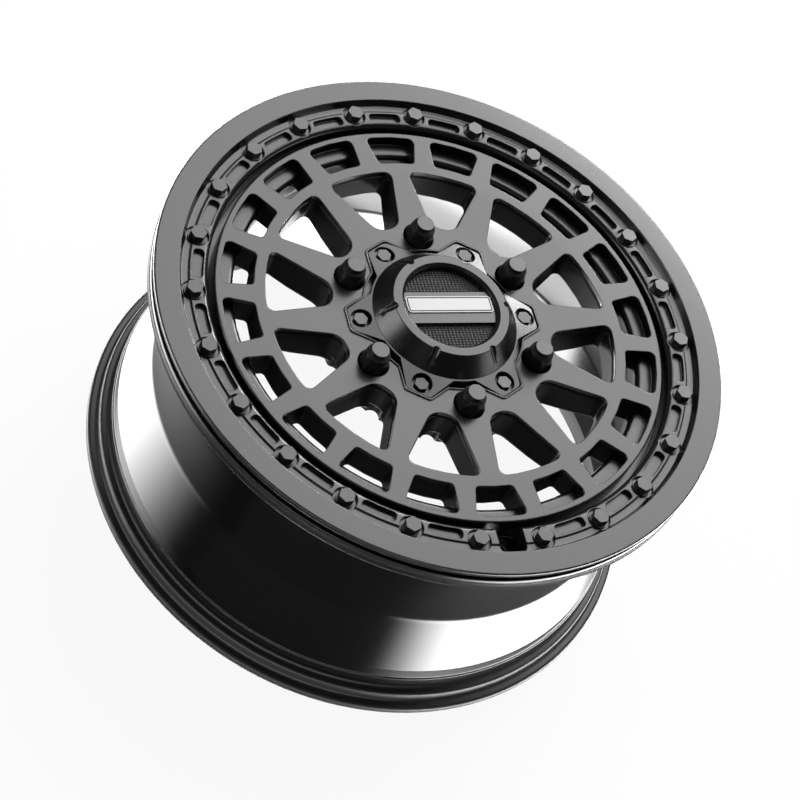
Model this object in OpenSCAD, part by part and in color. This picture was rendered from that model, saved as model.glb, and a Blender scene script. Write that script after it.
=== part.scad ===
/* [Wheel size] */
// Outer diameter of the beadlock ring and of both rim flanges
rim_d = 408; // [396:1:424]
// Overall width from the ring lip to the inboard edge
overall_width = 193; // [170:1:230]
// Height of the disc face above the hub mounting face
face_z = 34; // [31:0.5:42]
// Height of the rim flanges above the bead seats
flange_h = 13.5; // [12:0.5:15]
// Depth of the drop from the bead seat to the barrel
barrel_drop = 14.5; // [10:0.5:18]
// Thickness of the barrel wall
barrel_wall = 5.5; // [4:0.5:8]

/* [Hub] */
// Pitch circle of the lug holes
lug_pcd = 139.7; // [135:0.1:146]
// Number of lug holes and cap ears
lug_count = 6; // [6:1:6]
// Diameter of the stud holes
stud_hole_d = 14.5; // [13.5:0.5:15.5]
// Diameter of the socket around each lug nut
lug_socket_d = 21.3; // [20.5:0.1:22.5]
// Metal of the hub pad outside the lug circle
pad_edge = 9.15; // [8.5:0.05:11]
// Width of the ledge that the cap flange sits on
cap_seat_w = 6.85; // [6:0.05:9]

/* [Disc windows] */
// Width of the gap between the disc and the beadlock ring
disc_gap_w = 4.3; // [3:0.1:6]
// Width of the disc edge outside the outer windows
disc_edge_w = 4.2; // [3.5:0.1:7]
// Number of outer windows
outer_windows = 20; // [16:1:22]
// Radial length of the outer windows
outer_window_len = 23.1; // [18:0.1:26]
// Width of the ribs at the outer end of the outer windows
rib_out_w = 11.2; // [8:0.2:16]
// Width of the ribs at the inner end of the outer windows
rib_in_w = 15.2; // [12:0.2:18]
// Width of the hoop between the two rows of windows
hoop_w = 7.8; // [6:0.2:12]
// Number of inner windows between the spokes
inner_windows = 12; // [10:1:12]
// Width of the spokes at the hoop
spoke_w = 12.2; // [10:0.2:18]
// Depth of the wall step below the disc face
step_depth = 4.6; // [3:0.2:6]
// Width of the wall step in the inner windows
step_w = 0.8; // [0.4:0.1:1.2]

/* [Beadlock ring] */
// Number of beadlock bolts
bolt_count = 24; // [16:4:24]
// Width of the flat lip
lip_w = 17.2; // [14:0.2:20]
// Height of the ring lip above the disc face
lip_rise = 6; // [4:0.5:8]
// Thickness of the clamping lip
lip_t = 4.4; // [3.5:0.1:5]
// Thickness of the ring from its seat to its lip
ring_t = 14; // [13:0.5:15]
// Distance from the bolt circle to the inner edge of the ring
ring_land_w = 10.6; // [9.5:0.1:12]
// Diameter of the round seat around each bolt head
bolt_seat_d = 16.5; // [15.5:0.1:17.5]
// Width of the valve notch
notch_w = 19.4; // [16:0.2:21]
// Length of the relief pockets between the bolts
pocket_len = 23.8; // [18:0.2:24.4]

/* [Fasteners] */
// Shank diameter of the beadlock bolts
bolt_d = 6; // [5:0.5:6.5]
// Width across flats of the beadlock bolt heads
bolt_af = 10; // [8:0.5:11]
// Flange diameter of the beadlock bolts
bolt_flange_d = 13; // [12:0.5:15]
// Height of the beadlock bolt heads with their flange
bolt_head_h = 6.6; // [5.6:0.2:7]
// Length of the beadlock bolts below the head
bolt_len = 20; // [16:1:22]
// Thread diameter of the wheel studs
stud_d = 12; // [12:0.5:12.5]
// Width across flats of the lug nuts
nut_af = 17; // [16:0.5:17.5]
// Diameter of the round lug nut tips
nut_tip_d = 12.7; // [12:0.1:14]
// Height of the lug nut tips above the disc face
nut_rise = 14.5; // [12:0.5:18]
// Thread diameter of the cap screws
screw_d = 5; // [4:0.5:6]
// Width across flats of the cap screw heads
screw_af = 9; // [8:0.5:9.5]

/* [Centre cap] */
// Distance from the lug circle to the round part of the cap flange
cap_clear = 16.45; // [15:0.05:20]
// Reach of the cap ears beyond the round part of the flange
ear_reach = 15.9; // [15.5:0.1:16.5]
// Half width of the cap ears at their tips
ear_half = 8.6; // [8:0.1:9.6]
// Width of the cap cone seen from the front
cap_cone_w = 10.4; // [8:0.1:12]
// Width of the flat rim of the cap
cap_ring_w = 6.3; // [5:0.1:8]
// Height of the cap rim above the disc face
cap_rise = 15.8; // [14:0.2:20]
// Radius of the six grooves in the cap cone
groove_r = 3.2; // [2.6:0.1:4]
// Width of the band across the cap
band_w = 25.4; // [20:0.2:28]
// Length of the name plate
plate_len = 63.4; // [50:0.2:63.6]
// Width of the name plate
plate_w = 13.2; // [10:0.2:14]

/* [Hidden] */
smooth = 180;
small = 40;

// Fits between pieces
clear_pilot = 0.5;
clear_thread = 0.2;
clear_insert = 0.15;
clear_cap = 0.6;
clear_cone = 0.12;

// Heights of the ring and the disc
lip_z = face_z + lip_rise;
back_z = lip_z - overall_width;
seat_z = lip_z - ring_t;
land_z = lip_z - 4.2;
strip_z = lip_z - 5.1;
pocket_z = lip_z - 7.4;
bolt_seat_z = lip_z - bolt_head_h;
nose_z = seat_z + 4.6;
nose_low_z = seat_z - 5;
flange_low_z = seat_z - 18;
gap_floor_z = seat_z - 9;

// Radii from the rim inwards
rim_r = rim_d / 2;
lip_in_r = rim_r - lip_w;
wall_foot_r = lip_in_r - 2.2;
strip_in_r = wall_foot_r - 4.8;
bolt_r = wall_foot_r - bolt_seat_d / 2 + 0.05;
ring_in_r = bolt_r - ring_land_w;
pilot_r = lip_in_r + 2.7;
recess_r = pilot_r + clear_pilot;
disc_r = ring_in_r - disc_gap_w;
ledge_r = disc_r - 11.7;
throat_r = ledge_r - 4.3;
outer_window_out = disc_r - disc_edge_w;
outer_window_in = outer_window_out - outer_window_len;
inner_window_r = outer_window_in - hoop_w;
seat_r = rim_r - flange_h;
barrel_r = seat_r - barrel_drop;

// Heights of the barrel profile above its inboard edge
flare_z = back_z + 34.3;
ridge_z = back_z + 25.6;
crease_z = back_z + 83;

// Beadlock ring pattern
bolt_step = 360 / bolt_count;
notch_angle = 180;
pocket_in = ring_in_r + 3.3;
pocket_out = pocket_in + 7.7;

// Hub and cap
lug_r = lug_pcd / 2;
lug_step = 360 / lug_count;
hub_pad_r = lug_r + pad_edge;
hub_z = face_z - 0.8;
cap_rim_z = face_z + 0.2;
cap_seat_z = face_z - 4.6;
cap_base_r = lug_r - cap_clear;
hub_bore_r = cap_base_r - cap_seat_w;
cap_cone_r = cap_base_r - 1.4;
cap_top_r = cap_cone_r - cap_cone_w;
cap_recess_r = cap_top_r - cap_ring_w;
cap_floor_r = cap_recess_r - 2.1;
cap_z = face_z + cap_rise;
cone_foot_z = face_z + 2.6;
ear_slope = 0.186;
mesh_z = cap_z - 7;
mesh_t = 1;
band_z = cap_z - 3.2;
plate_x = 2.2;
plate_t = 0.8;
cap_screw_r = cap_base_r + 7.8;
screw_seat_z = face_z - 3;
screw_seat_d = screw_af + 5.4;
screw_head_h = 3.4;
screw_len = 14;
scallop_r = 5.5;

// Lug nut seat
seat_cone_top = 12;
seat_cone_h = 4;
seat_cone_d = lug_socket_d - 0.9;
seat_slope = 30;

function unit(v) = v / norm(v);

function polar(r, a) = [r * cos(a), r * sin(a)];

function turned(p, a) = [p[0] * cos(a) - p[1] * sin(a), p[0] * sin(a) + p[1] * cos(a)];

// Points of the arc that rounds the corner b between a and c
function corner(a, b, c, r, n) =
    r == 0 ? [b] :
    let (
        u = unit(a - b),
        w = unit(c - b),
        half = acos(u * w) / 2,
        reach = r / tan(half),
        start = b + u * reach,
        centre = b + unit(u + w) * r / sin(half),
        first = atan2(start[1] - centre[1], start[0] - centre[0]),
        turn = (u[0] * w[1] - u[1] * w[0] > 0 ? -1 : 1) * (180 - 2 * half)
    )
    [for (i = [0 : n]) centre + r * [cos(first + turn * i / n), sin(first + turn * i / n)]];

// Outline with rounded corners from rows of x, y, radius and segments
function rounded(rows) =
    let (n = len(rows))
    [
        for (i = [0 : n - 1])
            let (
                a = rows[(i + n - 1) % n],
                b = rows[i],
                c = rows[(i + 1) % n]
            )
            each corner([a[0], a[1]], [b[0], b[1]], [c[0], c[1]], b[2], b[3])
    ];

function box_outline(x0, x1, half, r) =
    rounded([[x0, -half, r, 4], [x1, -half, r, 4], [x1, half, r, 4], [x0, half, r, 4]]);

// Rows for rounded() along an arc of radius ro, with its two ends rounded by r
function arc_rows(ro, first, last, steps, r) = [
    for (i = [0 : steps])
        let (p = polar(ro, first + (last - first) * i / steps))
        [p[0], p[1], i % steps == 0 ? r : 0, 4]
];

// Tapered inner window with a round hub end, made smaller all round by inset
side_slope = 0.4;
window_end_r = 11.2;
function inner_window(inset) =
    let (
        ro = inner_window_r - inset,
        half_w = inner_window_r * sin(180 / inner_windows) - spoke_w / 2 - inset * 1.07,
        half = asin(half_w / ro),
        foot = hub_pad_r - 0.1 + inset,
        edge = polar(ro, half),
        wide = edge[1] - side_slope * (edge[0] - foot)
    )
    rounded(concat(
        [[foot, -wide, window_end_r, 7]],
        arc_rows(ro, -half, half, 4, 5 - inset),
        [[foot, wide, window_end_r, 7]]
    ));

// Rounded trapezoid of the outer windows
function outer_window() =
    let (
        pitch = 180 / outer_windows,
        half = pitch - asin(rib_out_w / 2 / outer_window_out),
        half_in = pitch - asin(rib_in_w / 2 / outer_window_in)
    )
    rounded(concat(
        arc_rows(outer_window_in, half_in, -half_in, 2, 3),
        arc_rows(outer_window_out, -half, half, 2, 4.4)
    ));

// Round flange of radius base with an ear half way between each two lug holes, ears grown by grow
ear_flank = 29.2;
function eared(base, grow) =
    let (
        tip = cap_base_r + ear_reach + grow,
        half = ear_half + grow * tan(45 - ear_flank / 2),
        foot_x = foot_of(tip, half, base),
        foot_y = half + (tip - foot_x) * tan(ear_flank),
        open = lug_step / 2 - atan2(foot_y, foot_x),
        arc_points = 3
    )
    rounded([
        for (k = [0 : lug_count - 1])
            let (a = lug_step * (k + 0.5))
            each concat(
                [
                    for (q = [[foot_x, -foot_y, 3], [tip, -half, 4], [tip, half, 4], [foot_x, foot_y, 3]])
                        let (p = turned(q, a))
                        [p[0], p[1], q[2], 4]
                ],
                [
                    for (i = [1 : arc_points])
                        let (p = polar(base, a + lug_step / 2 + open * (2 * i / (arc_points + 1) - 1)))
                        [p[0], p[1], 0, 1]
                ]
            )
    ]);

// Where the flank of an ear meets the circle of radius base, measured along the ear
function foot_of(tip, half, base) =
    let (
        slope = tan(ear_flank),
        reach = half + tip * slope,
        square = 1 + slope * slope
    )
    (reach * slope + sqrt(reach * reach * slope * slope - square * (reach * reach - base * base))) / square;

// Height of the sloping cap flange at the radius r
function flange_top(r) = cone_foot_z - (r - cap_cone_r) * ear_slope;

// Height at which the cone seat in the body has the radius r
function seat_z_at(r) = seat_cone_top + (r - seat_cone_d / 2 - clear_cone) / tan(seat_slope);

module spin(n, first = 0) {
    for (i = [0 : n - 1])
        rotate([0, 0, first + i * 360 / n])
            children();
}

module prism(points, low, high) {
    translate([0, 0, low])
        linear_extrude(height = high - low)
            polygon(points);
}

module drum(r, low, high, n = small) {
    translate([0, 0, low])
        cylinder(r = r, h = high - low, $fn = n);
}

module cone(r_low, r_high, low, high, n = small) {
    translate([0, 0, low])
        cylinder(r1 = r_low, r2 = r_high, h = high - low, $fn = n);
}

// Barrel, inboard flange and outboard clamp flange as one turned profile
module barrel() {
    inner_r = barrel_r - barrel_wall;
    rotate_extrude($fn = smooth)
        polygon(rounded([
            [throat_r, seat_z, 4.3, 4],
            [disc_r - 1, seat_z, 0, 1],
            [disc_r - 1, gap_floor_z, 0, 1],
            [ring_in_r, gap_floor_z, 0, 1],
            [ring_in_r, seat_z, 0, 1],
            [recess_r, seat_z, 0, 1],
            [recess_r, nose_z, 0.6, 1],
            [rim_r - 0.6, nose_z, 1.2, 2],
            [rim_r - 0.6, nose_z - 3, 0, 1],
            [rim_r, nose_z - 3.5, 0, 1],
            [rim_r, nose_low_z, 1.2, 2],
            [recess_r + 2, nose_low_z, 3, 2],
            [barrel_r + 2, flange_low_z - 4, 8, 4],
            [barrel_r, flange_low_z - 16, 0, 1],
            [barrel_r + 1, crease_z, 30, 4],
            [seat_r - 1.7, flare_z, 1.5, 2],
            [seat_r - 0.8, ridge_z, 0.4, 1],
            [seat_r + 0.2, ridge_z - 0.8, 0.3, 1],
            [seat_r + 0.5, back_z + 14, 1.8, 3],
            [rim_r - 7.5, back_z + 14, 1.8, 3],
            [rim_r - 6.5, back_z + 6.2, 1.8, 3],
            [rim_r, back_z + 6.2, 2.4, 3],
            [rim_r, back_z, 1.2, 2],
            [seat_r - 5, back_z, 1, 2],
            [seat_r - 6.5, back_z + 12, 4, 3],
            [seat_r - 7, flare_z, 6, 3],
            [inner_r + 1, crease_z, 30, 4],
            [inner_r, flange_low_z - 16, 10, 4],
            [throat_r, flange_low_z, 4, 3]
        ]));
}

// Hub pad and spoke plate before the windows are cut
module disc_blank() {
    rotate_extrude($fn = smooth)
        polygon([
            [hub_bore_r, 0],
            [hub_pad_r - 1, 0],
            [hub_pad_r + 1, 2],
            [hub_pad_r + 1, face_z - 27.5],
            [(hub_pad_r + outer_window_in) / 2, face_z - 25.6],
            [outer_window_in, face_z - 21.2],
            [throat_r + 6, face_z - 21.2],
            [throat_r + 6, seat_z - 6],
            [disc_r, seat_z - 6],
            [disc_r, face_z - 0.8],
            [disc_r - 0.8, face_z],
            [inner_window_r, face_z],
            [hub_pad_r, hub_z],
            [hub_bore_r, hub_z]
        ]);
}

// Raised rim round the cap, with the eared pocket that the cap sits in
module cap_pocket_rim() {
    prism(eared(cap_base_r + 5, clear_cap + 1.3), hub_z - 1, cap_rim_z);
}

module cap_pocket() {
    prism(eared(cap_base_r + 3.8, clear_cap), cap_seat_z, cap_rim_z + 1);
}

module lug_hole() {
    drum(stud_hole_d / 2, -1, seat_cone_top);
    cone(stud_hole_d / 2, lug_socket_d / 2, seat_z_at(stud_hole_d / 2), seat_z_at(lug_socket_d / 2));
    drum(lug_socket_d / 2, seat_z_at(lug_socket_d / 2) - 0.01, face_z + 5);
    cone(lug_socket_d / 2 - 0.1, lug_socket_d / 2 + 0.7, hub_z - 0.6, hub_z + 0.2);
}

// Pocket and tilted stem hole that the ring's notch leaves open
valve_floor_z = seat_z - 12;
valve_hole_d = 11.3;
valve_tilt = 45;
module valve_pocket() {
    prism(box_outline(ring_in_r - 2.8, wall_foot_r - 0.6, notch_w / 2, 3), valve_floor_z, seat_z + 1);
    translate([ring_in_r + 8.7, 0, valve_floor_z])
        rotate([0, -valve_tilt, 0])
            drum(valve_hole_d / 2, -24, 5);
}

module wheel_body() {
    color([0.16, 0.16, 0.17])
        difference() {
            union() {
                barrel();
                difference() {
                    disc_blank();
                    spin(inner_windows, 180 / inner_windows) {
                        prism(inner_window(0), face_z - step_depth, face_z + 1);
                        prism(inner_window(step_w), -2, face_z - step_depth + 0.5);
                        translate([hub_pad_r + 1, 0, 0])
                            drum(scallop_r, -2, face_z - 22);
                    }
                    spin(outer_windows)
                        prism(outer_window(), -2, face_z + 1);
                }
                difference() {
                    cap_pocket_rim();
                    drum(hub_bore_r, hub_z - 2, cap_rim_z + 1, smooth);
                }
            }
            cap_pocket();
            spin(lug_count)
                translate([lug_r, 0, 0])
                    lug_hole();
            spin(lug_count, lug_step / 2)
                translate([cap_screw_r, 0, 0])
                    drum(screw_d / 2 + clear_thread, screw_seat_z - screw_len - 1, cap_seat_z + 1, 24);
            spin(bolt_count, bolt_step / 2)
                translate([bolt_r, 0, 0])
                    drum(bolt_d / 2 + clear_thread, bolt_seat_z - bolt_len - 1, seat_z + 1, 24);
            rotate([0, 0, notch_angle])
                valve_pocket();
        }
}

function pocket_outline() =
    rounded([
        [pocket_in, -pocket_len / 2, 3, 4],
        [pocket_out, -pocket_len / 2, 3, 4],
        [pocket_out + 0.4, 0, 0, 1],
        [pocket_out, pocket_len / 2, 3, 4],
        [pocket_in, pocket_len / 2, 3, 4],
        [pocket_in + 0.4, 0, 0, 1]
    ]);

module beadlock_ring() {
    color([0.16, 0.16, 0.17])
        difference() {
            rotate_extrude($fn = smooth)
                polygon(rounded([
                    [ring_in_r, seat_z, 0.5, 1],
                    [pilot_r, seat_z, 0.8, 1],
                    [pilot_r, lip_z - lip_t, 0.8, 1],
                    [rim_r, lip_z - lip_t, 0.8, 2],
                    [rim_r, lip_z, 1.2, 3],
                    [lip_in_r, lip_z, 0.3, 1],
                    [wall_foot_r, strip_z, 1.2, 2],
                    [strip_in_r, strip_z, 0, 1],
                    [strip_in_r - 1.2, land_z, 0, 1],
                    [ring_in_r, land_z, 4.2, 5]
                ]));
            spin(bolt_count, bolt_step / 2)
                translate([bolt_r, 0, 0]) {
                    drum(bolt_seat_d / 2, bolt_seat_z, lip_z + 1);
                    drum(bolt_d / 2 + clear_thread, seat_z - 1, lip_z, 24);
                }
            for (i = [0 : bolt_count - 1])
                if (abs(i * bolt_step - notch_angle) > 0.1)
                    rotate([0, 0, i * bolt_step])
                        prism(pocket_outline(), pocket_z, lip_z);
            rotate([0, 0, notch_angle])
                prism(rounded([
                    [ring_in_r - 8, -notch_w / 2, 0, 1],
                    [wall_foot_r - 0.2, -notch_w / 2, 4, 4],
                    [wall_foot_r - 0.2, notch_w / 2, 4, 4],
                    [ring_in_r - 8, notch_w / 2, 0, 1]
                ]), seat_z - 1, lip_z + 1);
        }
}

// Hexagon whose corners are cut by a cone towards the top
head_flat = 0.545;
module hexagon(af, low, high, top_r, fall) {
    intersection() {
        drum(af / sqrt(3), low, high, 6);
        cone(top_r + (high - low) * fall, top_r, low, high);
    }
}

module flange_bolt() {
    flange_t = 1.2;
    drum(bolt_flange_d / 2, bolt_seat_z, bolt_seat_z + flange_t);
    hexagon(bolt_af, bolt_seat_z + flange_t - 0.2, lip_z, bolt_af * head_flat, 1.2);
    drum(bolt_d / 2, bolt_seat_z - bolt_len, bolt_seat_z + 0.2, 24);
}

module beadlock_bolts() {
    color([0.22, 0.22, 0.23])
        spin(bolt_count, bolt_step / 2)
            translate([bolt_r, 0, 0])
                rotate([0, 0, 13])
                    flange_bolt();
}

// Lug nut with a cone seat, hexagon body and round tip
module lug_nut() {
    tip_z = face_z + nut_rise;
    shoulder_z = tip_z - 4.2;
    hex_low = seat_cone_top + 3;
    shoulder_r = nut_af / 2 - 0.3;
    seat_cone_low = seat_cone_top - seat_cone_h;
    seat_r_low = seat_cone_d / 2 - seat_cone_h * tan(seat_slope);
    difference() {
        union() {
            cone(seat_r_low, seat_cone_d / 2, seat_cone_low, seat_cone_top);
            drum(seat_cone_d / 2, seat_cone_top - 0.01, hex_low);
            hexagon(nut_af, hex_low - 1, shoulder_z, shoulder_r, 0.19);
            cone(shoulder_r, nut_tip_d / 2, shoulder_z - 0.01, shoulder_z + 1.2);
            drum(nut_tip_d / 2, shoulder_z - 2, tip_z - 0.3);
            cone(nut_tip_d / 2, nut_tip_d / 2 - 0.3, tip_z - 0.31, tip_z);
        }
        drum(stud_d / 2 + clear_thread, seat_cone_low - 1, tip_z - 8);
    }
}

module lug_nuts() {
    color([0.2, 0.2, 0.21])
        spin(lug_count)
            translate([lug_r, 0, 0])
                lug_nut();
}

// Eared flange with a top that falls away from the cone
module cap_flange() {
    far_r = cap_base_r + ear_reach + 4;
    intersection() {
        prism(eared(cap_base_r, 0), cap_seat_z, cone_foot_z + 1);
        rotate_extrude($fn = smooth)
            polygon([
                [0, cap_seat_z - 1],
                [far_r, cap_seat_z - 1],
                [far_r, flange_top(far_r)],
                [0, flange_top(0)]
            ]);
    }
}

// Round groove that starts on the cone at groove_from of its height and is groove_depth deep at the rim
groove_from = 0.25;
groove_depth = 1.7;
module cone_groove() {
    rise = cap_z - cone_foot_z;
    outward = unit([rise, cap_cone_w]);
    start_r = cap_cone_r - groove_from * cap_cone_w + groove_r * outward[0];
    start_z = cone_foot_z + groove_from * rise + groove_r * outward[1];
    inwards = (1 - groove_from) * cap_cone_w + groove_depth * outward[0];
    upwards = (1 - groove_from) * rise - groove_depth * outward[1];
    translate([start_r, 0, start_z])
        rotate([0, -atan2(inwards, upwards), 0])
            drum(groove_r, 0, 2 * rise);
}

module centre_cap() {
    hollow_r = hub_bore_r - 2.5;
    color([0.16, 0.16, 0.17])
        difference() {
            union() {
                cap_flange();
                cone(cap_cone_r + 0.4, cap_top_r + 0.3, cone_foot_z - 0.5, cap_z - 0.4, smooth);
                cone(cap_top_r + 0.3, cap_top_r - 0.1, cap_z - 0.41, cap_z, smooth);
            }
            drum(cap_floor_r, mesh_z, cap_z + 1, smooth);
            cone(cap_floor_r, cap_recess_r + 0.6, cap_z - 1.8, cap_z + 0.5, smooth);
            drum(hollow_r, cap_seat_z - 1, mesh_z - 2.3, smooth);
            spin(lug_count, lug_step / 2) {
                translate([cap_screw_r, 0, 0]) {
                    drum(screw_seat_d / 2, screw_seat_z, cone_foot_z + 1);
                    drum(screw_d / 2 + clear_thread, cap_seat_z - 1, cone_foot_z, 24);
                }
                cone_groove();
            }
        }
}

module cap_screws() {
    color([0.22, 0.22, 0.23])
        spin(lug_count, lug_step / 2)
            translate([cap_screw_r, 0, 0]) {
                hexagon(screw_af, screw_seat_z, screw_seat_z + screw_head_h, screw_af * head_flat, 1.2);
                drum(screw_d / 2, screw_seat_z - screw_len, screw_seat_z + 0.2, 24);
            }
}

// Woven disc in the floor of the cap recess
module mesh_insert() {
    color([0.08, 0.08, 0.085])
        drum(cap_floor_r - clear_insert, mesh_z, mesh_z + mesh_t, smooth);
}

module cap_band() {
    color([0.3, 0.3, 0.31])
        intersection() {
            translate([-band_w / 2, -cap_floor_r, mesh_z + mesh_t])
                cube([band_w, 2 * cap_floor_r, band_z - mesh_z - mesh_t]);
            drum(cap_floor_r - clear_insert, mesh_z, cap_z, smooth);
        }
}

module name_plate() {
    color([0.85, 0.85, 0.86])
        translate([plate_x, 0, 0])
            prism(box_outline(-plate_w / 2, plate_w / 2, plate_len / 2, 2.4), band_z, band_z + plate_t);
}

wheel_body();
beadlock_ring();
beadlock_bolts();
lug_nuts();
centre_cap();
cap_screws();
mesh_insert();
cap_band();
name_plate();
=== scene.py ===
"""Looks of the black beadlock wheel: paint, hardware, woven cap mesh, studio light and camera."""

import math

import bpy
import numpy as np
from mathutils import Matrix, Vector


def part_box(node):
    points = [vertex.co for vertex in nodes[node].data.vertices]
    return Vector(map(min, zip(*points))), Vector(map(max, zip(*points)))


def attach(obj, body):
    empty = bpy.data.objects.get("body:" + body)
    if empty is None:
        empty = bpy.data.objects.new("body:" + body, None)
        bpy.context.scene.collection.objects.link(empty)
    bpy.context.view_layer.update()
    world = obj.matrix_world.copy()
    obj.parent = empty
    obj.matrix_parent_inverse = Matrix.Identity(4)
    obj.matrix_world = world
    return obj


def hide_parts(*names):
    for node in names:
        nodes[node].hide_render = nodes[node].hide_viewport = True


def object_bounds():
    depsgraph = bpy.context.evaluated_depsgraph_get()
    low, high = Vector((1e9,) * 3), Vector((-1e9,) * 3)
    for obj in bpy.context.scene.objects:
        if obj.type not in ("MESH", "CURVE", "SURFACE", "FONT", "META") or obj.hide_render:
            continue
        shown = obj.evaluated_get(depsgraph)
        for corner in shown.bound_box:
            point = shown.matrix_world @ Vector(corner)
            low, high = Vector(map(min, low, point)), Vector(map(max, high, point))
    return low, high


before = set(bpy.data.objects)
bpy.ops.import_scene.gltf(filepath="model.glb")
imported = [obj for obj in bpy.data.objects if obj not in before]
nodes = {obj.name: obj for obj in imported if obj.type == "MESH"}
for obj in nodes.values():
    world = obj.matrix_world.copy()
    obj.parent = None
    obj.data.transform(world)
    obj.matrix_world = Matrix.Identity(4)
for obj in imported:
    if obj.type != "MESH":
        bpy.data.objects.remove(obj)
cad_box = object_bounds()
MM = 0.001
floor_z = cad_box[0][2]

# Stretches over which one finish of the wheel body fades into the next, and the window stretches over which
# the painted shade of the window walls fades in: r is the distance from the axis, and z the height over the
# hub face
barrel_r = (160 * MM, 166 * MM)
barrel_top_z = (16 * MM, 24 * MM)
disc_back_z = (-4 * MM, 6 * MM)
back_flange_z = (-138.5 * MM, -134.5 * MM)
window_top_z = (30.5 * MM, 32.5 * MM)
window_foot_z = (4 * MM, 10 * MM)
window_outer_r = (158 * MM, 160 * MM)
window_inner_r = (79 * MM, 80 * MM)

# Radius of the softened edges, and depth of the relief, of each finish
body_edge = 1.2 * MM
ring_edge = 1.0 * MM
cap_edge = 0.7 * MM
nut_edge = 0.4 * MM
small_edge = 0.3 * MM
peel_depth = 0.025 * MM
tool_mark_depth = 0.01 * MM
brush_depth = 0.012 * MM
weave_depth = 1.1 * MM
groove_depth = 0.4 * MM


def grey(level):
    return (level, level, level, 1.0)


class Value:
    """A shader socket whose arithmetic adds Math nodes."""

    def __init__(self, paint, socket):
        self.paint = paint
        self.socket = socket

    def _math(self, operation, *others):
        sockets = dict(enumerate((self,) + others))
        return self.paint.add("ShaderNodeMath", {"operation": operation}, sockets)

    def __add__(self, other):
        return self._math("ADD", other)

    def __radd__(self, other):
        return self._math("ADD", other)

    def __sub__(self, other):
        return self._math("SUBTRACT", other)

    def __rsub__(self, other):
        return self.paint.add("ShaderNodeMath", {"operation": "SUBTRACT"}, {0: other, 1: self})

    def __mul__(self, other):
        return self._math("MULTIPLY", other)

    def __rmul__(self, other):
        return self._math("MULTIPLY", other)

    def __pow__(self, other):
        return self._math("POWER", other)

    def sin(self):
        return self._math("SINE")

    def abs(self):
        return self._math("ABSOLUTE")

    def angle(self, run):
        """Angle in radians whose tangent is this value over the run."""
        return self._math("ARCTAN2", run)

    def most(self, other):
        return self._math("MAXIMUM", other)

    def least(self, other):
        return self._math("MINIMUM", other)

    def step(self, low, high):
        """Smooth ramp from 0 at low to 1 at high."""
        return self.paint.add(
            "ShaderNodeMapRange",
            {"interpolation_type": "SMOOTHSTEP"},
            {"Value": self, "From Min": low, "From Max": high, "To Min": 0.0, "To Max": 1.0},
        )


class Paint:
    def __init__(self, name):
        self.material = bpy.data.materials.new(name)
        self.material.use_nodes = True
        self.tree = self.material.node_tree
        self.tree.nodes.clear()
        self.out = self.tree.nodes.new("ShaderNodeOutputMaterial")
        self.place = self.add("ShaderNodeTexCoord", out="Object")

    def feed(self, socket, value):
        """Links a value to a socket, or sets a constant on it."""
        if isinstance(value, Value):
            self.tree.links.new(value.socket, socket)
        else:
            socket.default_value = value

    def add(self, kind, settings=None, inputs=None, out=0):
        node = self.tree.nodes.new(kind)
        for key, value in (settings or {}).items():
            setattr(node, key, value)
        for key, value in (inputs or {}).items():
            self.feed(node.inputs[key], value)
        return Value(self, node.outputs[out])

    def split(self, vector):
        """The three parts of a vector."""
        node = self.tree.nodes.new("ShaderNodeSeparateXYZ")
        self.feed(node.inputs[0], vector)
        return [Value(self, socket) for socket in node.outputs]

    def axes(self):
        """The three object coordinates in metres, and the distance from the wheel's axis."""
        x, y, z = self.split(self.place)
        return x, y, z, (x * x + y * y) ** 0.5

    def noise(self, repeats, detail, roughness):
        """Noise from 0 to 1 with the stated repeats per metre."""
        return self.add(
            "ShaderNodeTexNoise",
            None,
            {"Vector": self.place, "Scale": repeats, "Detail": detail, "Roughness": roughness},
        )

    def brushing(self, across, along):
        """Fine lines along Y: noise with the stated repeats per metre across them and along them."""
        repeats = (across, along, along)
        stretched = self.add("ShaderNodeMapping", None, {"Vector": self.place, "Scale": repeats})
        return self.add("ShaderNodeTexNoise", None, {"Vector": stretched, "Scale": 1.0, "Detail": 3.0})

    def mix(self, factor, first, second):
        """Colour between two colours by a factor from 0 to 1, by the node's colour sockets 6 and 7 and its
        output 2."""
        return self.add("ShaderNodeMix", {"data_type": "RGBA"}, {0: factor, 6: first, 7: second}, out=2)

    def bump(self, height, depth, strength, edge=0.0):
        """Normal from a height in 0..1 and its depth in metres, over edges softened by the radius edge."""
        inputs = {"Height": height, "Distance": depth, "Strength": strength}
        if edge:
            inputs["Normal"] = self.add("ShaderNodeBevel", {"samples": 6}, {"Radius": edge})
        return self.add("ShaderNodeBump", None, inputs)

    def powder(self, patch_repeats):
        """Powder coat: the height of its orange peel, its changes of gloss, and its flecked black."""
        peel = self.noise(repeats=950.0, detail=3.0, roughness=0.55)
        patch = self.noise(repeats=patch_repeats, detail=4.0, roughness=0.6)
        fleck = self.noise(repeats=5200.0, detail=1.0, roughness=0.5).step(0.60, 0.74)
        gloss = 0.06 * (patch - 0.5) + 0.05 * (peel - 0.5)
        return peel, gloss, self.mix(fleck * 0.5, grey(0.005), grey(0.016))

    def coat(self, **inputs):
        """Principled shader with the stated inputs, spaces in their names written as underscores."""
        named = {key.replace("_", " "): value for key, value in inputs.items()}
        return self.add("ShaderNodeBsdfPrincipled", None, named)

    def matt(self, level):
        return self.add("ShaderNodeBsdfDiffuse", None, {0: grey(level)})

    def glow(self, level, strength=1.0):
        return self.add("ShaderNodeEmission", None, {0: grey(level), 1: strength})

    def layer(self, factor, first, second):
        """Two shaders mixed by a factor from 0 to 1."""
        return self.add("ShaderNodeMixShader", None, {0: factor, 1: first, 2: second})

    def finish(self, shader):
        self.feed(self.out.inputs[0], shader)
        return self.material


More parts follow.
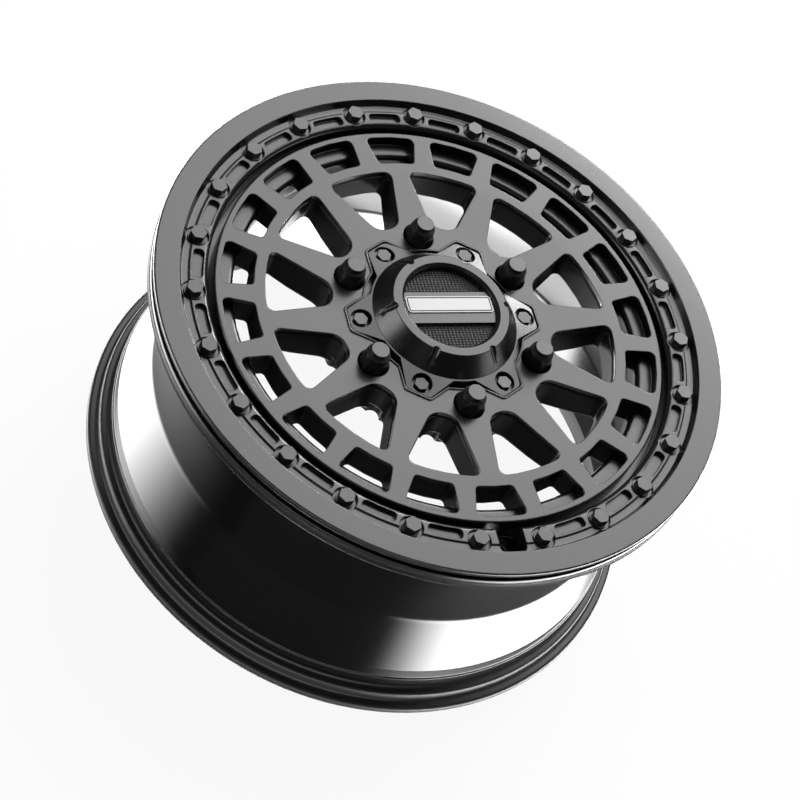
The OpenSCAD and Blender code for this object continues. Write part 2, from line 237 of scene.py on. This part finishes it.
def wheel_paint():
    """Black powder coat: satin with orange peel on the face, smoother on the turned barrel, duller on the
    back flange. The upright walls of the windows carry painted shade: the coat is mixed toward a near-black
    matt there."""
    p = Paint("black powder coat")
    _, _, z, r = p.axes()
    barrel = (r.step(*barrel_r) * (1 - z.step(*barrel_top_z))).most(1 - z.step(*disc_back_z))
    flange = 1 - z.step(*back_flange_z)
    peel, gloss, black = p.powder(patch_repeats=26.0)
    rough = 0.25 - 0.07 * barrel + gloss * (1 - 0.7 * barrel) + 0.27 * flange
    turned = p.mix(flange, grey(0.002), grey(0.012))
    coat = p.coat(
        Base_Color=p.mix(barrel, black, turned),
        Roughness=rough,
        Normal=p.bump(peel * (1 - barrel), peel_depth, 0.55, body_edge),
        Specular_IOR_Level=0.5,
    )
    # Painted shade: the upright window walls, below the face and above the foot, are mixed three quarters
    # toward a near-black matt, standing for the shade in these recesses.
    facing = p.split(p.add("ShaderNodeNewGeometry", out="True Normal"))
    upright = 1 - facing[2].abs().step(0.35, 0.6)
    sunk = (1 - z.step(*window_top_z)) * z.step(*window_foot_z)
    window_shade_area = (1 - r.step(*window_outer_r)) * r.step(*window_inner_r)
    return p.finish(p.layer(upright * sunk * window_shade_area * 0.75, coat, p.matt(0.006)))


def face_paint(name, edge, mean_rough):
    """The same coat on a separate piece, with its own edge softness."""
    p = Paint(name)
    peel, gloss, black = p.powder(patch_repeats=30.0)
    rough = mean_rough + gloss
    normal = p.bump(peel, peel_depth, 0.55, edge)
    return p.finish(p.coat(Base_Color=black, Roughness=rough, Normal=normal, Specular_IOR_Level=0.5))


def oxide(name, level, mean_rough, edge):
    """Black oxide steel: fine tool marks, worn a little lighter in patches."""
    p = Paint(name)
    grain = p.noise(repeats=2600.0, detail=4.0, roughness=0.6)
    patch = p.noise(repeats=160.0, detail=3.0, roughness=0.6)
    base = p.mix(patch.step(0.45, 0.8), grey(level), grey(level * 2.2))
    rough = mean_rough + 0.12 * (grain - 0.5) + 0.08 * (patch - 0.5)
    normal = p.bump(grain, tool_mark_depth, 0.6, edge)
    return p.finish(p.coat(Base_Color=base, Roughness=rough, Normal=normal, Specular_IOR_Level=0.5))


def woven():
    """Woven black mesh: a thread is half a sine wave across, and warp and weft cross over and under."""
    p = Paint("woven mesh")
    x, y, _, _ = p.axes()
    warp_pitch = 1.904 * MM
    weft_pitch = 2.55 * MM
    u = x * (math.pi / warp_pitch)
    v = y * (math.pi / weft_pitch)
    warp = u.sin().abs()
    weft = v.sin().abs()
    over = ((u * 0.5).sin() * (v * 0.5).sin()).step(-0.15, 0.15)
    height = warp * (0.55 + 0.45 * over) * 0.5 + weft * (1.0 - 0.45 * over) * 0.5
    # Painted shade: the gaps between the threads are coloured near black, standing for the shade seen
    # through the openings; they are also rougher.
    shaded_gap = 1.0 - warp.most(weft).step(0.25, 0.6)
    base = p.mix(shaded_gap, grey(0.03), grey(0.001))
    rough = 0.38 + 0.3 * shaded_gap
    normal = p.bump(height, weave_depth, 1.0)
    return p.finish(p.coat(Base_Color=base, Roughness=rough, Normal=normal, Specular_IOR_Level=0.3))


def band_paint():
    """Smooth dark band of the cap, with a faint brushing along its length."""
    p = Paint("cap band")
    brush = p.brushing(across=3000.0, along=60.0)
    base = p.mix(brush, grey(0.014), grey(0.026))
    normal = p.bump(brush, brush_depth, 0.5, small_edge)
    return p.finish(p.coat(Base_Color=base, Roughness=0.36 + 0.08 * (brush - 0.5), Normal=normal))


def plate_metal():
    """Bright brushed plate with a dark groove that leaves a thin border. The groove follows the distance
    inward from the plate's rounded outline."""
    p = Paint("bright plate")
    x, y, _, _ = p.axes()
    low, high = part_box("name_plate")
    corner = 2.4 * MM
    reach_x = (x - (low[0] + high[0]) / 2).abs() - ((high[0] - low[0]) / 2 - corner)
    reach_y = (y - (low[1] + high[1]) / 2).abs() - ((high[1] - low[1]) / 2 - corner)
    outside = (reach_x.most(0.0) ** 2.0 + reach_y.most(0.0) ** 2.0) ** 0.5
    inward = corner - outside - reach_x.most(reach_y).least(0.0)
    groove = inward.step(0.7 * MM, 0.85 * MM) * (1 - inward.step(1.6 * MM, 1.75 * MM))
    brush = p.brushing(across=3600.0, along=80.0)
    coat = p.coat(
        Base_Color=p.mix(groove, p.mix(brush, grey(0.54), grey(0.62)), grey(0.01)),
        Metallic=0.0,
        Roughness=0.46 + 0.14 * (brush - 0.5),
        Normal=p.bump(brush * 0.04 + (1 - groove), groove_depth, 0.7),
        Specular_IOR_Level=0.25,
    )
    return p.finish(coat)


materials = {
    "wheel_body": wheel_paint(),
    "beadlock_ring": face_paint("ring powder coat", edge=ring_edge, mean_rough=0.25),
    "beadlock_bolts": oxide("black bolt", level=0.02, mean_rough=0.36, edge=small_edge),
    "lug_nuts": oxide("black nut", level=0.012, mean_rough=0.30, edge=nut_edge),
    "centre_cap": face_paint("cap paint", edge=cap_edge, mean_rough=0.28),
    "cap_screws": oxide("black screw", level=0.02, mean_rough=0.36, edge=small_edge),
    "mesh_insert": woven(),
    "cap_band": band_paint(),
    "name_plate": plate_metal(),
}
for name, material in materials.items():
    own = nodes[name].data.materials
    own.clear()
    own.append(material)

# Faces that meet at less than this angle in radians shade as one surface
round_limit = 0.55
crisp_limit = 0.38
crisp = ("beadlock_bolts", "lug_nuts", "cap_screws", "name_plate", "cap_band")
# Corners that fall in the same cell of this size, in metres, are one
weld = 2e-6


def smooth_copy(name, limit):
    """A CAD node's triangles with equal corners joined, so that faces shade smoothly up to the limit."""
    source = nodes[name].data
    source.calc_loop_triangles()
    points = np.zeros(len(source.vertices) * 3)
    source.vertices.foreach_get("co", points)
    corners = np.zeros(len(source.loop_triangles) * 3, np.int64)
    source.loop_triangles.foreach_get("vertices", corners)
    grid = np.round(points.reshape(-1, 3) / weld).astype(np.int64)
    _, first, index = np.unique(grid, axis=0, return_index=True, return_inverse=True)
    triangles = index.reshape(-1)[corners].reshape(-1, 3)
    a, b, c = triangles.T
    triangles = triangles[(a != b) & (b != c) & (c != a)]
    mesh = bpy.data.meshes.new(name + "_dressed")
    mesh.from_pydata(points.reshape(-1, 3)[first].tolist(), [], triangles.tolist())
    mesh.update()
    mesh.polygons.foreach_set("use_smooth", np.ones(len(mesh.polygons), bool))
    mesh.set_sharp_from_angle(angle=limit)
    mesh.materials.append(materials[name])
    piece = bpy.data.objects.new(name + "_dressed", mesh)
    bpy.context.scene.collection.objects.link(piece)
    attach(piece, "root")
    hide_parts(name)
    even = piece.modifiers.new("flat faces stay flat", "WEIGHTED_NORMAL")
    even.mode = "FACE_AREA_WITH_ANGLE"
    even.keep_sharp = True
    even.weight = 60


for name in nodes:
    smooth_copy(name, crisp_limit if name in crisp else round_limit)


def grid_surface(name, points):
    """A surface from a grid of points, rows by columns: each cell is a quad between its four corners."""
    rows, columns = points.shape[:2]
    i, j = np.meshgrid(np.arange(rows - 1), np.arange(columns - 1), indexing="ij")
    first = (i * columns + j).ravel()
    faces = np.stack([first, first + columns, first + columns + 1, first + 1], 1)
    mesh = bpy.data.meshes.new(name)
    mesh.from_pydata(points.reshape(-1, 3).tolist(), [], faces.tolist())
    surface = bpy.data.objects.new(name, mesh)
    bpy.context.scene.collection.objects.link(surface)
    return surface


def sheet_of_floor():
    """Plain pale floor under the wheel, a flat grid of one metre cells. The camera sees it near white, with
    the wheel's shadow, and other rays find it dark, so that it throws little light up on the barrel."""
    reach = 9.0
    line = np.linspace(-reach, reach, 19)
    across, along = np.meshgrid(line, line, indexing="ij")
    floor = grid_surface("floor", np.stack([across, along, np.full_like(across, floor_z)], -1))
    p = Paint("pale floor")
    seen = p.add("ShaderNodeLightPath", out="Is Camera Ray")
    pale = p.layer(0.93, p.matt(0.9), p.glow(0.99))
    floor.data.materials.append(p.finish(p.layer(seen, p.matt(0.04), pale)))
    floor.visible_glossy = False
    floor.visible_shadow = False


def around(azimuth, elevation, distance):
    """A place seen from the wheel's centre at an azimuth and elevation in degrees."""
    a = math.radians(azimuth)
    e = math.radians(elevation)
    level = distance * math.cos(e)
    return (level * math.cos(a), level * math.sin(a), distance * math.sin(e))


def stand(thing, side, up, back, place):
    """Sets a lamp or the camera at a place, with its own X, Y and Z along side, up and back."""
    rows = [(side[i], up[i], back[i], place[i]) for i in range(3)]
    thing.matrix_world = Matrix(rows + [(0, 0, 0, 1)])


def lamp(name, place, aim, width, height, radiance):
    """A soft rectangular lamp; its power follows from the radiance that a reflection of it shows."""
    light = bpy.data.lights.new(name, "AREA")
    light.shape = "RECTANGLE"
    light.size = width
    light.size_y = height
    light.energy = radiance * width * height * math.pi
    thing = bpy.data.objects.new(name, light)
    bpy.context.scene.collection.objects.link(thing)
    back = np.array(place) - np.array(aim)
    back /= np.linalg.norm(back)
    side = np.cross((0.0, 0.0, 1.0), back)
    length = np.linalg.norm(side)
    side = side / length if length > 1e-6 else np.array((1.0, 0.0, 0.0))
    stand(thing, side, np.cross(back, side), back, place)
    thing.visible_camera = False


def glow_panel(name, azimuth, elevation, turns, rises, fade_turn, fade_rise, radiance):
    """A curved reflector below the horizon: a part of a sphere of 2.5 m that reaches by turns and rises to
    the sides of an azimuth and elevation. Its glow grows smoothly with height over fade_rise. Over fade_turn
    it grows where that starts before the azimuth, and fades where it starts beyond it. Angles in degrees."""
    distance = 2.5
    columns = 41
    rows = 13
    a = np.radians(azimuth + np.linspace(turns[0], turns[1], columns))
    e = np.radians(elevation + np.linspace(rises[0], rises[1], rows))
    a, e = np.meshgrid(a, e)
    points = distance * np.stack([np.cos(e) * np.cos(a), np.cos(e) * np.sin(a), np.sin(e)], -1)
    panel = grid_surface(name, points)
    p = Paint(name)
    x, y, z, r = p.axes()
    cosine = math.cos(math.radians(azimuth))
    sine = math.sin(math.radians(azimuth))
    turn = (y * cosine - x * sine).angle(x * cosine + y * sine)
    level = turn.step(*np.radians(fade_turn).tolist())
    if fade_turn[0] > 0:
        level = 1 - level
    level = level * z.angle(r).step(*np.radians(elevation + np.array(fade_rise)).tolist())
    panel.data.materials.append(p.finish(p.layer(level, p.glow(1.0, 0.0), p.glow(1.0, radiance))))
    panel.visible_camera = False
    panel.visible_shadow = False


sheet_of_floor()

hub = (0.0, 0.0, 0.0)
disc = (0.0, 0.0, 30 * MM)
lamp("key", (1.03, -0.97, 1.69), disc, width=2.2, height=2.2, radiance=4.9)
lamp("low right", around(-45, 29, 2.4), disc, width=0.6, height=0.35, radiance=34.0)
lamp("left side", (0.55, 2.2, 0.65), disc, width=1.2, height=0.7, radiance=8.0)
lamp("far side", (-1.0, -2.0, 0.25), disc, width=1.2, height=0.5, radiance=3.5)
lamp("front", (-1.3, 1.1, 1.5), hub, width=0.8, height=0.8, radiance=0.8)
lamp("front strip", around(141, -6, 2.5), hub, width=5.0, height=0.3, radiance=14.0)
lamp("below", (0.0, 0.0, -1.3), hub, width=0.8, height=0.8, radiance=9.0)
glow_panel("glow left", 45, -39, (-75, 65), (-16, 17), (3, 56), (-13, 5), radiance=14.0)
glow_panel("glow right", -120, -32, (-60, 60), (-10, 10), (-58, -30), (-11, -9), radiance=18.0)

# Small panels inside the barrel, close over the floor, that shine straight up on its far inner wall
panel_z = floor_z + 4 * MM
for name, x, y, width, height, radiance in (
    ("panel inside", 0.043, -0.043, 0.028, 0.034, 30.0),
    ("panel inside edge", 0.082, -0.058, 0.046, 0.040, 10.0),
    ("panel inside wall", 0.163, -0.012, 0.034, 0.094, 14.0),
):
    lamp(name, (x, y, panel_z), (x, y, 0.0), width, height, radiance)


def studio_world():
    """Faint even light on the wheel, and a near white backdrop for the camera."""
    world = bpy.data.worlds.new("studio")
    bpy.context.scene.world = world
    world.use_nodes = True
    tree = world.node_tree
    tree.nodes.clear()
    rays = tree.nodes.new("ShaderNodeLightPath")
    blend = tree.nodes.new("ShaderNodeMixShader")
    out = tree.nodes.new("ShaderNodeOutputWorld")
    tree.links.new(rays.outputs["Is Camera Ray"], blend.inputs[0])
    for slot, level, strength in ((1, 1.0, 0.06), (2, 0.99, 1.0)):
        sky = tree.nodes.new("ShaderNodeBackground")
        sky.inputs[0].default_value = grey(level)
        sky.inputs[1].default_value = strength
        tree.links.new(sky.outputs[0], blend.inputs[slot])
    tree.links.new(blend.outputs[0], out.inputs[0])


def photo_camera():
    """Camera at the photograph's place and angle, as fitted to the lug circle and the rim's ellipses."""
    camera = bpy.data.cameras.new("camera")
    camera.sensor_width = 36.0
    camera.lens = 112.87
    camera.clip_start = 0.05
    camera.clip_end = 60.0
    eye = bpy.data.objects.new("camera", camera)
    bpy.context.scene.collection.objects.link(eye)
    right = np.array((-0.23855, -0.91431, 0.32731))
    down = np.array((-0.83354, 0.01984, -0.55210))
    forward = np.array((0.49829, -0.40453, -0.76685))
    stand(eye, right, -down, -forward, (-0.8882, 0.7175, 1.3001))
    bpy.context.scene.camera = eye


studio_world()
photo_camera()
bpy.context.scene.view_settings.view_transform = "Standard"
